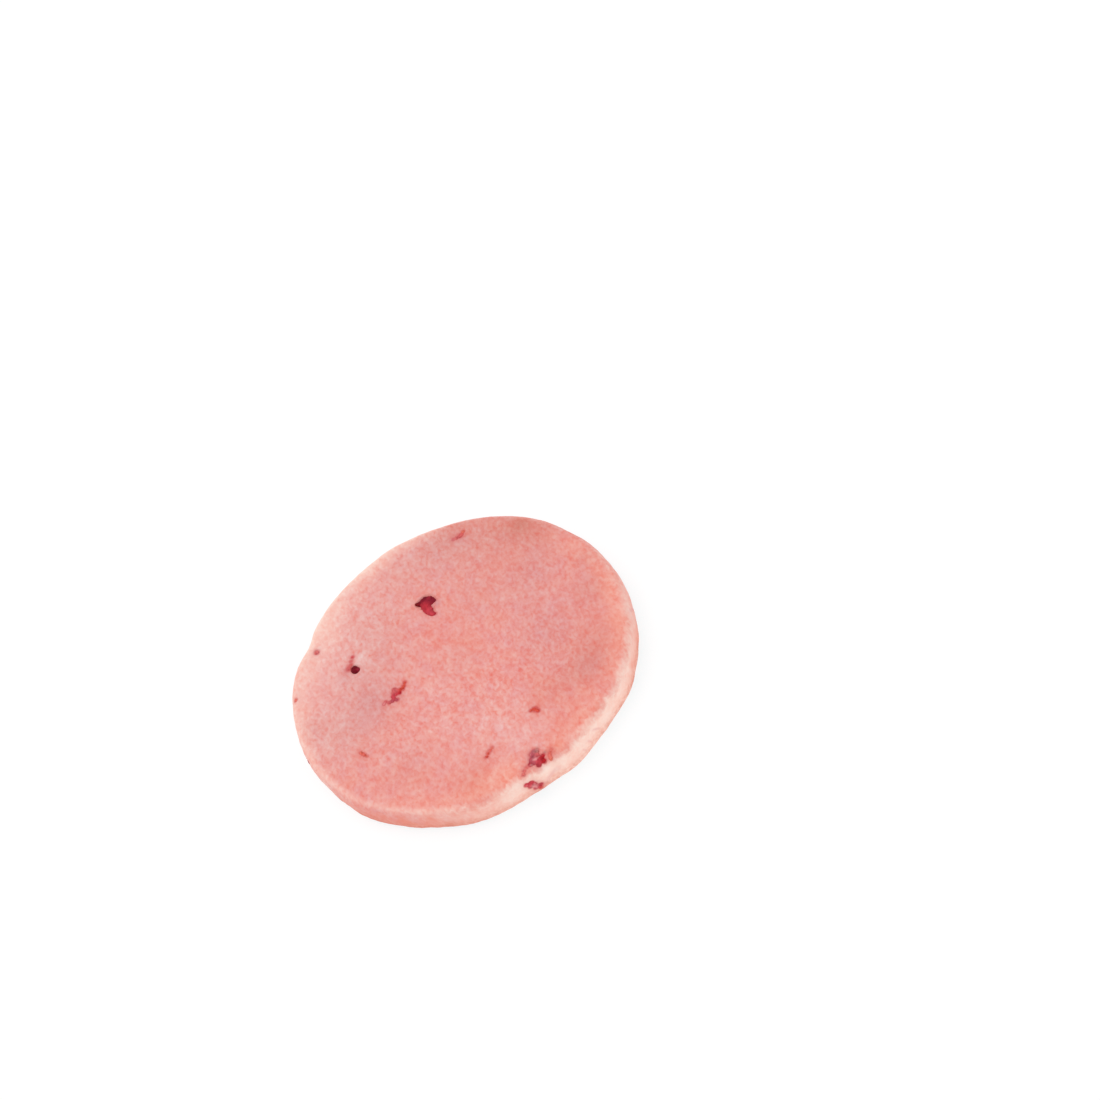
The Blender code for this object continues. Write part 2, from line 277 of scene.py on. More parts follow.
def outline_move(angle):
    """How far the outline stands out from the true circle."""
    move = np.zeros_like(angle)
    for centre, spread, depth in OUTLINE_WAVES:
        move += depth * np.exp(-0.5 * (angle_gap(angle, centre) / spread) ** 2)
    return move


def face_relief(x, y):
    """Height of the face above its mean plane."""
    height = FACE_WAVE_HEIGHT * noise_field(np.stack([x, y, 0.0 * x], 1), FACE_WAVE_LENGTH)
    for centre_x, centre_y, radius, swell in FACE_SWELLS:
        height += swell * hill(np.hypot(x - centre_x, y - centre_y), radius)
    return height


def side_lumps(angle, z):
    """Radial lumps of the side, none at the base and at the face."""
    spots = np.stack([RADIUS * np.cos(angle), RADIUS * np.sin(angle), z], 1)
    lump = LUMP_DEPTH * noise_field(spots, LUMP_LENGTH)
    return lump * smooth_step(0.0, BASE_ROUND, z) * smooth_step(THICKNESS, SIDE_TOP, z)


def make_uneven(points):
    """Move points of the true turned biscuit to its uneven outline, waves and lumps."""
    x, y, z = points.T
    radius = np.hypot(x, y)
    angle = np.arctan2(y, x)
    share = smooth_step(OUTLINE_FADE * RADIUS, RADIUS, radius)
    near_side = smooth_step(RADIUS - TOP_ROUND, WALL_RADIUS, radius)
    grown = radius + outline_move(angle) * share + side_lumps(angle, z) * near_side
    scale = grown / np.maximum(radius, 1e-6)
    lift = face_relief(x * scale, y * scale) * smooth_step(BASE_ROUND, THICKNESS, z)
    return np.stack([x * scale, y * scale, z + lift], 1)


def section(way):
    """Radius and height of the true section, at a way from the edge of the face to the base."""
    if way <= ROUND_WAY:
        turn = way / TOP_ROUND
        return FACE_RADIUS + TOP_ROUND * math.sin(turn), SIDE_TOP + TOP_ROUND * math.cos(turn)
    if way <= SIDE_WAY:
        t = (way - ROUND_WAY) / (SIDE_WAY - ROUND_WAY)
        bulge = SIDE_BULGE * math.sin(math.pi * t)
        return WALL_RADIUS + bulge, SIDE_TOP + (BASE_ROUND - SIDE_TOP) * t
    turn = (way - SIDE_WAY) / BASE_ROUND
    return BASE_RADIUS + BASE_ROUND * math.cos(turn), BASE_ROUND * (1.0 - math.sin(turn))


def way_of(points):
    """The way of points on the true biscuit: below 0 on the face, above BASE_WAY on the base."""
    radius = np.hypot(points[:, 0], points[:, 1])
    z = points[:, 2]
    top_turn = np.arctan2(radius - FACE_RADIUS, z - SIDE_TOP)
    base_turn = np.arctan2(BASE_ROUND - z, radius - BASE_RADIUS)
    return np.select(
        [
            (radius < FACE_RADIUS) & (z > 0.5 * THICKNESS),
            (radius < BASE_RADIUS) & (z < 0.5 * THICKNESS),
            z > SIDE_TOP,
            z > BASE_ROUND,
        ],
        [
            radius - FACE_RADIUS,
            BASE_WAY + BASE_RADIUS - radius,
            TOP_ROUND * top_turn,
            ROUND_WAY + SIDE_TOP - z,
        ],
        SIDE_WAY + BASE_ROUND * base_turn,
    )


# Fine dough mesh: cells across the face and the base, and rows down the side
FACE_CELLS = 188
BASE_CELLS = 94
SIDE_ROWS = 31


def disc_points(cells):
    """A grid without a pole, of cells by cells, on a disc of radius one."""
    steps = np.linspace(-1.0, 1.0, cells + 1)
    a, b = np.meshgrid(steps, steps, indexing="ij")
    along_a = np.abs(a) >= np.abs(b)
    radius = np.where(along_a, a, b)
    safe = np.where(radius == 0.0, 1.0, radius)
    turn = 0.25 * math.pi * np.where(along_a, b, a) / safe
    angle = np.where(along_a, turn, 0.5 * math.pi - turn)
    return np.stack([radius * np.cos(angle), radius * np.sin(angle)], -1).reshape(-1, 2)


def disc_rim(cells):
    """Numbers of the disc's rim points, counter-clockwise from -45 degrees."""
    side = np.arange(cells)
    row = cells + 1
    return np.concatenate([
        cells * row + side,
        (cells - side) * row + cells,
        cells - side,
        side * row,
    ])


def disc_faces(cells, first, upward):
    """Quads of the disc, whose points start at number first."""
    i, j = np.meshgrid(np.arange(cells), np.arange(cells), indexing="ij")
    corner = (i * (cells + 1) + j + first).ravel()
    quads = np.stack([corner, corner + cells + 1, corner + cells + 2, corner + 1], 1)
    return (quads if upward else quads[:, ::-1]).tolist()


def true_biscuit():
    """The true turned biscuit as one closed mesh: face, side and base."""
    turns = 4 * FACE_CELLS
    face_xy = FACE_RADIUS * disc_points(FACE_CELLS)
    face = np.column_stack([face_xy, np.full(len(face_xy), THICKNESS)])
    angles = -0.25 * math.pi + 2.0 * math.pi * np.arange(turns) / turns
    rings = []
    for row in range(1, SIDE_ROWS + 1):
        radius, height = section(BASE_WAY * row / SIDE_ROWS)
        rings.append(np.column_stack([
            radius * np.cos(angles), radius * np.sin(angles), np.full(turns, height),
        ]))
    base_xy = BASE_RADIUS * (1.0 - 1.0 / BASE_CELLS) * disc_points(BASE_CELLS)
    base = np.column_stack([base_xy, np.zeros(len(base_xy))])
    points = np.concatenate([face, *rings, base])

    faces = disc_faces(FACE_CELLS, 0, upward=True)
    loop = disc_rim(FACE_CELLS)
    for row in range(SIDE_ROWS):
        below = len(face) + row * turns + np.arange(turns)
        quads = np.stack([loop, below, np.roll(below, -1), np.roll(loop, -1)], 1)
        faces += quads.tolist()
        loop = below
    base_first = len(face) + SIDE_ROWS * turns
    faces += disc_faces(BASE_CELLS, base_first, upward=False)
    rim = disc_rim(BASE_CELLS) + base_first
    for number in range(4 * BASE_CELLS):
        a, b = int(rim[number]), int(rim[(number + 1) % len(rim)])
        p, q, r = (int(loop[(2 * number + k) % turns]) for k in range(3))
        faces += [[p, a, q], [q, a, b], [q, b, r]]
    return points, faces


# Raspberry pieces

# Steps down the side's section, among which the height of a raspberry lobe is looked up
SECTION_STEPS = 60

# How far neighbouring lobes run together, how far their shades do, and the size of mesh cells
BLEND = 0.16
SHADE_BLEND = 0.11
FRUIT_CELL = 0.06

# Softening of the lobes' joints: share of each step and number of steps
SOFTEN_SHARE = 0.5
SOFTEN_STEPS = 3

# Wrinkles and folds of the fruit. Narrower wrinkles have a higher sharpness.
WRINKLE_LENGTH = 0.5
WRINKLE_DEPTH = 0.06
WRINKLE_SHARPNESS = 2.5
FOLD_LENGTH = 1.2
FOLD_DEPTH = 0.09

# Painted shade on the fruit's steep edges: how dark the steep edge of flesh and of a speck is
# beside its top, and how far the skin faces outwards at that edge and at the top
EDGE_SHADE = {"flesh": 0.74, "speck": 0.92}
EDGE_TO_TOP = (-0.1, 0.8)

# Speckles in the flesh: their size, the noise from their edge to their middle, how strong the
# dark and the light ones are, and the colour of the light ones. The light speckles are partly
# paler skin and partly painted highlights.
SPECKLE_LENGTH = 0.75
SPECKLE_SPAN = (0.05, 0.35)
DARK_SPECKLE_SPAN = (-0.05, -0.3)
SPECKLE_DARK = 0.25
SPECKLE_LIGHT = 0.45
SPECKLE_SHADE = linear(236, 172, 172)


def face_point(x, y):
    """Point and outward direction of the uneven face above x and y."""
    step = 0.2
    xs = np.array([x, x + step, x - step, x, x], float)
    ys = np.array([y, y, y, y + step, y - step], float)
    heights = THICKNESS + face_relief(xs, ys)
    slope = Vector((heights[2] - heights[1], heights[4] - heights[3], 2.0 * step))
    return Vector((x, y, heights[0])), slope.normalized()


def side_point(direction, height):
    """Point and outward direction of the uneven side."""
    angle = math.radians(direction)
    outward = Vector((math.cos(angle), math.sin(angle), 0.0))
    ways = np.linspace(0.0, BASE_WAY, SECTION_STEPS)
    rows = np.array([section(way) for way in ways])
    ring = np.column_stack([rows[:, 0] * outward.x, rows[:, 0] * outward.y, rows[:, 1]])
    moved = make_uneven(ring)
    reach = np.hypot(moved[:, 0], moved[:, 1])
    near = int(np.argmin(np.abs(moved[:, 2] - height)))
    low, high = max(near - 1, 0), min(near + 1, len(ways) - 1)
    tangent = Vector((reach[high] - reach[low], 0.0, moved[high, 2] - moved[low, 2])).normalized()
    normal = outward * -tangent.z + Vector((0.0, 0.0, tangent.x))
    return outward * reach[near] + Vector((0.0, 0.0, height)), normal


def fruit_lobes():
    """Every lobe by piece: middle, outward direction, radius and shade."""
    pieces = {}
    for name, piece in FRUIT.items():
        spot = face_point if name in FACE_FRUIT else side_point
        pieces[name] = []
        for *place, radius, shade in piece["lobes"]:
            point, normal = spot(*place)
            middle = point + normal * (piece["rise"] - LOBE_FLATNESS * radius)
            pieces[name].append((middle, normal, radius, shade))
    return pieces


def lobe_distance(points, lobes):
    """How far each point is from each lobe's surface. One column for each lobe."""
    columns = []
    for middle, normal, radius, _ in lobes:
        gap = points - np.array(middle)
        up = gap @ np.array(normal)
        flat = gap - up[:, None] * np.array(normal)
        size = np.sqrt((flat ** 2).sum(1) + (up / LOBE_FLATNESS) ** 2)
        columns.append(size - radius)
    return np.stack(columns, 1)


def run_together(points, lobes):
    """How far points are from the lobes run together into one body, below 0 inside it."""
    gaps = lobe_distance(points, lobes)
    nearest = gaps.min(1)
    crowd = np.exp((nearest[:, None] - gaps) / BLEND).sum(1)
    return nearest - BLEND * np.log(crowd) + 0.5 * BLEND * math.log(2.0)


def add_lobe(bm, middle, normal, radius):
    """A lumpy flattened ball, as in the part."""
    made = bmesh.ops.create_icosphere(bm, subdivisions=3, radius=1.0)["verts"]
    for vertex in made:
        vertex.co *= 1.0 + LOBE_LUMPS * noise.noise(vertex.co * LOBE_LUMP_RATE + middle)
    rotation = normal.to_track_quat("Z", "Y").to_matrix().to_4x4()
    size = Matrix.Diagonal((radius, radius, LOBE_FLATNESS * radius, 1.0))
    bmesh.ops.transform(bm, matrix=Matrix.Translation(middle) @ rotation @ size, verts=made)


def link_object(name, data):
    """Put an object with that data in the scene."""
    obj = bpy.data.objects.new(name, data)
    bpy.context.scene.collection.objects.link(obj)
    return obj


def evaluated_mesh(obj):
    """The object's mesh with its modifiers applied. The object is removed."""
    depsgraph = bpy.context.evaluated_depsgraph_get()
    mesh = bpy.data.meshes.new_from_object(obj.evaluated_get(depsgraph))
    old_mesh = obj.data
    bpy.data.objects.remove(obj, do_unlink=True)
    bpy.data.meshes.remove(old_mesh)
    return mesh


def vectors_of(items, name):
    """That vector of each item, one row for each."""
    vectors = np.empty(3 * len(items))
    items.foreach_get(name, vectors)
    return vectors.reshape(-1, 3)


def points_of(mesh):
    return vectors_of(mesh.vertices, "co")


def normals_of(mesh):
    return vectors_of(mesh.vertex_normals, "vector")


def set_points(mesh, points):
    mesh.vertices.foreach_set("co", np.asarray(points, np.float32).ravel())
    mesh.update()


def add_values(mesh, name, values):
    """Store one number for each point of a mesh, for its material to read."""
    layer = mesh.attributes.new(name, "FLOAT", "POINT")
    layer.data.foreach_set("value", np.asarray(values, np.float32))


def add_colours(mesh, name, colours):
    """Store one colour for each point of a mesh, for its material to read."""
    layer = mesh.attributes.new(name, "FLOAT_COLOR", "POINT")
    colours = np.column_stack([colours, np.ones(len(colours))])
    layer.data.foreach_set("color", colours.astype(np.float32).ravel())


def settle(points, lobes):
    """Move points onto the surface of the lobes run together, a little at a time."""
    step, least_slope, longest_move = 0.01, 0.3, 0.2
    for _ in range(3):
        gap = run_together(points, lobes)
        slope = np.stack([
            run_together(points + step * axis, lobes) - run_together(points - step * axis, lobes)
            for axis in np.eye(3)
        ], 1) / (2.0 * step)
        move = gap / (slope ** 2).sum(1).clip(least_slope, None)
        points = points - slope * move.clip(-longest_move, longest_move)[:, None]
    return points


def fruit_shape(name, lobes):
    """One raspberry piece before it wrinkles: its lobes run together into one body."""
    bm = bmesh.new()
    for middle, normal, radius, _ in lobes:
        add_lobe(bm, middle, normal, radius + 0.5 * BLEND)
    mesh = bpy.data.meshes.new(name)
    bm.to_mesh(mesh)
    bm.free()
    obj = link_object(name, mesh)
    remesh = obj.modifiers.new("one_body", "REMESH")
    remesh.mode = "VOXEL"
    remesh.voxel_size = FRUIT_CELL
    mesh = evaluated_mesh(obj)
    set_points(mesh, settle(points_of(mesh), lobes))
    obj = link_object(name, mesh)
    soften = obj.modifiers.new("soften", "SMOOTH")
    soften.factor = SOFTEN_SHARE
    soften.iterations = SOFTEN_STEPS
    return evaluated_mesh(obj)


def fruit_colours(name, lobes, points, normals):
    """The colour of each point of a raspberry piece, with painted shade on its steep edges."""
    weight = np.exp(-lobe_distance(points, lobes).clip(-0.2, None) / SHADE_BLEND)
    shades = np.array([SHADES[shade][:3] for *_, shade in lobes])
    colours = (weight @ shades) / weight.sum(1)[:, None]
    outward = sum((normal for _, normal, *_ in lobes), Vector()).normalized()
    # Painted shade: darker where the skin turns away from the piece's outward direction
    upright = smooth_step(*EDGE_TO_TOP, normals @ np.array(outward))
    edge_shade = EDGE_SHADE["speck" if name in SPECKS else "flesh"]
    colours *= (edge_shade + (1.0 - edge_shade) * upright)[:, None]
    speckle = FRUIT[name].get("speckle", 0.0) * noise_field(points, SPECKLE_LENGTH)
    light = SPECKLE_LIGHT * smooth_step(*SPECKLE_SPAN, speckle)[:, None]
    colours = colours * (1.0 - light) + light * np.array(SPECKLE_SHADE[:3])
    return colours * (1.0 - SPECKLE_DARK * smooth_step(*DARK_SPECKLE_SPAN, speckle)[:, None])


def fruit_body(name, lobes):
    """One raspberry piece with its wrinkles: points, faces and the points' colours."""
    mesh = fruit_shape(name, lobes)
    points = points_of(mesh)
    wrinkle = (1.0 - WRINKLE_SHARPNESS * np.abs(noise_field(points, WRINKLE_LENGTH))).clip(0.0, 1.0)
    depth = FOLD_DEPTH * noise_field(points, FOLD_LENGTH) - WRINKLE_DEPTH * wrinkle
    set_points(mesh, points + normals_of(mesh) * depth[:, None])
    colours = fruit_colours(name, lobes, points, normals_of(mesh))
    faces = [list(polygon.vertices) for polygon in mesh.polygons]
    wrinkled = points_of(mesh)
    bpy.data.meshes.remove(mesh)
    return wrinkled, faces, colours


def fruit_kind(kind, names, pieces):
    """All raspberry pieces of one kind, as one mesh."""
    points, faces, colours, veil = [], [], [], []
    for name in names:
        piece_points, piece_faces, piece_colours = fruit_body(name, pieces[name])
        faces += [[len(points) + corner for corner in face] for face in piece_faces]
        points.extend(piece_points)
        colours.extend(piece_colours)
        veil += [FRUIT[name]["veil"]] * len(piece_points)
    mesh = bpy.data.meshes.new(kind)
    mesh.from_pydata(points, [], faces)
    add_colours(mesh, "shade", np.array(colours))
    add_values(mesh, "veil", veil)
    return mesh


# How much of the part's box the pieces may fill
BOX_SHARE = 0.9999


def fit_box(meshes, box):
    """Draw meshes in by what little they stand out of a box, each way from the middle."""
    points = np.concatenate([points_of(mesh) for mesh in meshes])
    low, high = np.array(box) * BOX_SHARE / MM
    shrink_low = np.where(low < 0.0, low / points.min(0).clip(None, -1e-6), 1.0).clip(None, 1.0)
    shrink_high = (high / points.max(0)).clip(None, 1.0)
    for mesh in meshes:
        points = points_of(mesh)
        set_points(mesh, points * np.where(points < 0.0, shrink_low, shrink_high))


def add_piece(name, mesh, material):
    """Show a mesh, turned from millimetres into metres, in place of the part's biscuit."""
    mesh.transform(Matrix.Scale(MM, 4))
    mesh.shade_smooth()
    mesh.materials.append(material)
    obj = link_object(name, mesh)
    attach(obj, "root")
    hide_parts("biscuit")


# Dough surface

# Cells of the dough mesh are halved once this near a raspberry piece, and again this near
FINER_WITHIN = (1.1, 0.45)

# Where the face's relief gives way to the side's, and how softly the side's ends at the base
FACE_FADE = (1.6, 0.4)
BASE_FADE = 0.3

# Fine relief of the dough, and more of it on the side: wave length and depth
CRUMB_RELIEF = ((4.2, 0.045), (1.9, 0.024), (0.9, 0.013), (0.5, 0.006))
SIDE_CRUMB = ((1.1, 0.042), (0.55, 0.018))

# Pores, where the product of two noises is higher than a limit: wave lengths, the limit, how
# far above it a pore is full, and depth
PORE_LENGTHS = (1.3, 0.6)
PORE_LIMIT = 0.12
PORE_FULL = 0.2
PORE_DEPTH = 0.05

# Pores of the base: wave length, strength and share of the noise, and depth
BASE_PORE_LENGTH = 1.6
BASE_PORE_NOISE = 0.9
BASE_PORE_START = 0.1
BASE_PORE_DEPTH = 0.1

# Groove in the dough round each raspberry piece: width and depth. Lip beyond it: width, how far
# from the piece, and height.
GROOVE = (0.15, 0.03)
LIP = (0.25, 0.42, 0.03)

# Folds in the side: direction and height of both ends, width and depth. How deep their ends
# are for their middle, how strongly painted shade darkens them, and the depth at which it is that
# strong.
FOLD_ENDS = 0.35
PAINTED_FOLD_SHADE = 0.8
PAINTED_FOLD_SHADE_DEPTH = 0.08
SIDE_FOLDS = (
    (290.2, 3.1, 291.6, 1.6, 0.16, 0.06), (287.4, 2.6, 288.6, 1.3, 0.16, 0.05),
    (272.2, 1.8, 278.2, 3.1, 0.34, 0.05), (277, 2.2, 278.9, 2.9, 0.2, 0.04),
    (338.8, 4.1, 345.6, 0.6, 0.34, 0.07), (293.6, 3.6, 296.4, 2.2, 0.2, 0.06),
    (226, 3.2, 231, 2, 0.3, 0.05), (108, 3.8, 113, 1.2, 0.36, 0.06), (38, 3.4, 42, 1.8, 0.3, 0.05),
)


def pit_depth(points):
    """How deep the pits round the raspberry pieces are, at points of the face."""
    depth = np.zeros(len(points))
    for x, y, length, width, turn, deepest in FACE_PITS.values():
        angle = math.radians(turn)
        gap_x, gap_y = points[:, 0] - x, points[:, 1] - y
        along = (gap_x * math.cos(angle) + gap_y * math.sin(angle)) / length
        across = (gap_y * math.cos(angle) - gap_x * math.sin(angle)) / width
        reach = along ** 2 + across ** 2
        bowl = (1.0 + PIT_LIFT) * np.sqrt((1.0 - reach).clip(0.0)) - PIT_LIFT
        depth = np.maximum(depth, deepest * bowl.clip(0.0))
    return depth


def fold_depth(points):
    """How deep the folds of the side are."""
    angle = np.arctan2(points[:, 1], points[:, 0])
    depth = np.zeros(len(points))
    for turn_a, z_a, turn_b, z_b, width, deepest in SIDE_FOLDS:
        arc = math.radians(turn_b - turn_a) * RADIUS
        along = np.radians(angle_gap(angle, turn_a)) * RADIUS
        drop = points[:, 2] - z_a
        length = arc ** 2 + (z_b - z_a) ** 2
        t = ((along * arc + drop * (z_b - z_a)) / length).clip(0.0, 1.0)
        gap = np.hypot(along - t * arc, drop - t * (z_b - z_a))
        taper = FOLD_ENDS + (1.0 - FOLD_ENDS) * np.sin(math.pi * t)
        depth = np.maximum(depth, deepest * taper * hill(gap, width))
    return depth


def halve_near(bm, lobes):
    """Halve the dough's cells round the raspberry pieces."""
    for reach in FINER_WITHIN:
        points = make_uneven(np.array([vertex.co for vertex in bm.verts]))
        near = lobe_distance(points, lobes).min(1) < reach
        bm.verts.ensure_lookup_table()
        chosen = [e for e in bm.edges if near[e.verts[0].index] and near[e.verts[1].index]]
        bmesh.ops.subdivide_edges(bm, edges=chosen, cuts=1, use_grid_fill=True)
        bm.verts.index_update()


def base_pores(points):
    """Shallow pores of the base, from 0 to about 1."""
    pore = BASE_PORE_NOISE * noise_field(points, BASE_PORE_LENGTH) + BASE_PORE_START
    return pore.clip(0.0)


def dough_relief(points, way, gap):
    """Fine relief of the dough, outwards. Gap is how far the nearest raspberry piece is."""
    on_face = smooth_step(*FACE_FADE, way)
    on_base = smooth_step(BASE_WAY - BASE_FADE, BASE_WAY, way)
    on_side = (1.0 - on_face) * (1.0 - on_base)
    coarse, fine = (noise_field(points, length) for length in PORE_LENGTHS)
    pore = ((coarse * fine - PORE_LIMIT) / PORE_FULL).clip(0.0, 1.0)
    relief = layered_noise(points, CRUMB_RELIEF) - PORE_DEPTH * pore
    relief += (layered_noise(points, SIDE_CRUMB) - fold_depth(points)) * on_side
    groove_width, groove_depth = GROOVE
    lip_width, lip_gap, lip_height = LIP
    relief += lip_height * hill(gap, lip_width, lip_gap) - groove_depth * hill(gap, groove_width)
    relief -= pit_depth(points) * on_face
    return relief * (1.0 - on_base) - BASE_PORE_DEPTH * base_pores(points) * on_base


def dough_mesh(pieces):
    """The fine dough surface, with the values that its material reads."""
    lobes = [lobe for piece_lobes in pieces.values() for lobe in piece_lobes]
    mesh = bpy.data.meshes.new("dough")
    points, faces = true_biscuit()
    mesh.from_pydata(points.tolist(), [], faces)
    bm = bmesh.new()
    bm.from_mesh(mesh)
    halve_near(bm, lobes)
    bm.to_mesh(mesh)
    bm.free()

    true_points = points_of(mesh)
    way = way_of(true_points)
    points = make_uneven(true_points)
    set_points(mesh, points)
    gaps = lobe_distance(points, lobes)
    points += normals_of(mesh) * dough_relief(points, way, gaps.min(1))[:, None]
    points[:, 2] = points[:, 2].clip(0.0)
    set_points(mesh, points)
    for name, values in dough_masks(true_points, way).items():
        add_values(mesh, name, values)
    add_stain(mesh, gaps, pieces)
    lay_out(mesh, true_points, way)
    return mesh


# Colours of the dough, as masks that its material reads

# Broad patches of the face: x, y, radius and strength. Crisp is where the grain shows more than
# elsewhere, or less. Juice, ember and grey lie round the raspberry pieces.
PATCHES = {
    "warm": (
        (3, 2, 4, 0.22), (-2, 6, 3, 0.15), (10, -7, 3.5, 0.15), (-13, -4, 2.6, 0.2),
        (20, -13, 4.5, 0.3), (17, -21, 4, 0.35), (-8, -24.6, 3.5, 0.75), (-3.5, -27, 2.5, 0.5),
        (10.5, -23.5, 3, 0.35), (27, -3, 3.5, 0.25), (22, 10, 5, 0.15), (6.5, -25.5, 2.5, 0.3),
        (5.8, -27.3, 1, 0.5), (21.5, 18.2, 2, 0.35), (16, 12, 5.5, 0.35), (8, -16, 4, 0.2),
        (-17, 0, 4, 0.2),
    ),
    # Mauve is the dough's own tint; beside the bead and over the shallow hollow at the face's left
    # it is also painted shade
    "mauve": (
        (18, 8, 5, 0.3), (15, -5, 6, 0.3), (18, -16, 3, 0.3), (-15.5, 3, 3, 0.3),
        (-18, 1.5, 5, 0.25), (-17.3, 9.6, 1.6, 0.4), (-16, 0, 4, 0.15), (1.9, 12.9, 0.7, 0.7),
        (-11.6, -0.2, 0.9, 0.4), (25, -2, 4, 0.2),
    ),
    # Light is the dough's paler tint; the patch beside the bead at x -13.7 is also painted light
    "light": (
        (-19, 11, 8, 0.32), (-9, 19.5, 7, 0.3), (1, 26, 5, 0.22), (-25, 1, 5, 0.35),
        (-8, -11, 3, 0.15), (-13.7, 11, 1.7, 0.5), (-18.9, 18, 0.9, 0.4), (2.2, -28.9, 1.2, 0.6),
        (0, -17, 5, 0.22), (3, -23, 4, 0.15), (-7, -3, 6, 0.1), (-16, -9, 4.5, 0.12),
        (-16, 15, 4, 0.12), (-8, -16, 4, 0.08),
    ),
    "brown": (
        (17, 22, 6, 0.36), (27.5, 3.5, 2.5, 0.3), (24, 15, 4.5, 0.4), (20.5, 18, 3.5, 0.35),
        (21.4, 18.1, 1.6, 0.35), (-27, 4, 3, 0.2), (-16, -14, 4.5, 0.15), (11, 25.5, 3, 0.25),
        (21, -13, 5, 0.25), (10, -16.5, 4, 0.2), (25, -3, 4, 0.2), (16, -16.5, 3.5, 0.3),
    ),
    "dull": (
        (12, 19, 9, 0.3), (22, 10, 6, 0.15), (0, 24, 6, 0.25), (-12, 8, 7, 0.2), (-20, 0, 7, 0.2),
        (16, 3, 6, 0.15), (14, -8, 5, 0.15), (8, 24.5, 4.5, 0.35), (-9, 16, 6, 0.25),
        (-24, 0, 5, 0.2), (-8, -24, 4, 0.2), (8, 8, 5, 0.15), (-16, 9, 5, 0.15), (0, 0, 4, 0.15),
    ),
    "peach": (
        (-3.6, -26, 2.3, 0.35), (-6.5, -25, 1.8, 0.15), (2.6, -29.2, 1, 0.6),
    ),
    "crisp": (
        (0, -10, 6, 0.3), (13.7, -11.9, 5, 0.2), (-14, -8, 4.5, 0.2), (8.5, -7.4, 5, 0.1),
        (-5.3, -5.7, 5, 0.1), (10, 11, 6, -0.1), (-21, 8, 6, -0.15), (-12, -19, 6, -0.1),
        (27, -12, 5, -0.25), (0, 24, 6, -0.1),
    ),
    "juice": (
        (-19.8, 18.9, 0.4, 0.8), (-19.75, 18.05, 0.4, 0.8), (-16.5, 10.95, 0.7, 0.65),
        (-15.9, 11.5, 0.5, 0.6), (-15.2, 12.2, 0.45, 0.5), (1.6, -27.1, 1.1, 0.7),
        (2.5, -27.7, 0.8, 0.6), (1.9, -25.9, 0.8, 0.6), (-11.6, 0.9, 0.7, 0.5),
        (-0.5, -27.9, 0.7, 0.3), (11.4, 23.2, 0.8, 0.4), (0.9, -28.6, 0.7, 0.25),
        (4.4, -27.9, 0.9, 0.35),
    ),
    "ember": (
        (6.3, -18.05, 0.38, 0.9), (5.8, -18.35, 0.38, 0.8), (6.3, -18.65, 0.38, 0.8),
        (4.3, -27.8, 0.9, 0.4), (-16.05, 10.9, 0.5, 0.8), (-3.8, -20.7, 0.45, 0.5),
    ),
    "grey": (
        (2.95, -25.75, 0.32, 0.6), (3.65, -27.25, 0.32, 0.6), (1.75, -26, 0.25, 0.4),
    ),
}

# The rim by direction in degrees: the way at which the pale rim starts, how softly, how strong it
# is on the side, how strong the pale line at the face's edge is, how dark the foot along the base's
# edge is, and how strong the warm band is that runs along the face's edge. The pale rim is partly
# the crumb's own paler colour and partly painted light, strongest on the sides that face the suns.
# The pale line is a painted highlight along the face's rounded edge.
RIM = (
    (0, 0.3, 1.4, 0.28, 0.1, 0.4, 0.35), (30, 0.6, 1.4, 0.08, 0.05, 0.5, 0.1),
    (62, 0.2, 1.6, 0.15, 0.1, 0.5, 0.1), (82, -1.8, 2.8, 0.65, 0.25, 0.5, 0.1),
    (100, -3.4, 4.2, 0.92, 0.28, 0.4, 0), (110, -3.4, 4.4, 0.8, 0.25, 0.4, 0),
    (128, -6.6, 7.5, 0.9, 0.25, 0.4, 0), (150, -4.6, 6.5, 0.7, 0, 0.4, 0),
    (172, -2, 3.4, 0.62, 0.1, 0.5, 0), (195, 0, 1.6, 0.3, 0.35, 0.6, 0),
    (212, 0.5, 1.2, 0.03, 0.34, 0.7, 0), (224, 0.4, 1.2, 0.1, 0.38, 0.8, 0.25),
    (233, 0.4, 1.3, 0.28, 0.35, 0.9, 0.35), (243, 0.3, 1.5, 0.48, 0.28, 0.9, 0.35),
    (254, 0.85, 1.2, 0.68, 0, 0.6, 0.35), (262, 0.1, 1.5, 0.94, 0, 0.7, 0.45),
    (272, 0.6, 0.9, 1, 0, 0.8, 0.2), (283, 0.8, 1.2, 1, 0, 0.6, 0.3),
    (293, -0.6, 2.4, 1, 0, 0.6, 0.3), (300, 0.7, 1.2, 1, 0, 0.6, 0.35),
    (308, 0.2, 1.6, 0.98, 0, 0.7, 0.05), (318, -0.3, 2, 0.86, 0, 0.8, 0.4),
    (328, 0, 1.8, 0.74, 0, 0.8, 0.45), (338, -0.4, 2, 0.56, 0, 0.6, 0.55),
    (350, -0.4, 1.8, 0.5, 0, 0.5, 0.5),
)

# The pale line, a painted highlight, and the warm band: width, and way of the middle
RIM_HIGHLIGHT_LINE = (0.55, 0.95)
RIM_GLOW = (1.9, -0.3)

# Ways at which the looks of the face, of the side and of the side's foot go from none to full.
# The foot's go back to none on the base.
FACE_LOOKS = (1.5, 0.0)
SIDE_LOOKS = (0.4, 1.6)
FOOT_LOOKS = (SIDE_WAY - 2.0, SIDE_WAY + 0.4)
FOOT_END = (BASE_WAY + 2.5, BASE_WAY)

# The base's browned edge: width, and way of the middle
BASE_RING = (2.2, BASE_WAY + 1.0)

# The pale rim's border wanders: wave lengths and widths, and how ragged the grain makes it
RIM_WANDER = ((2.6, 0.50), (1.1, 0.35), (0.5, 0.25))
RIM_RAGGED = 0.8

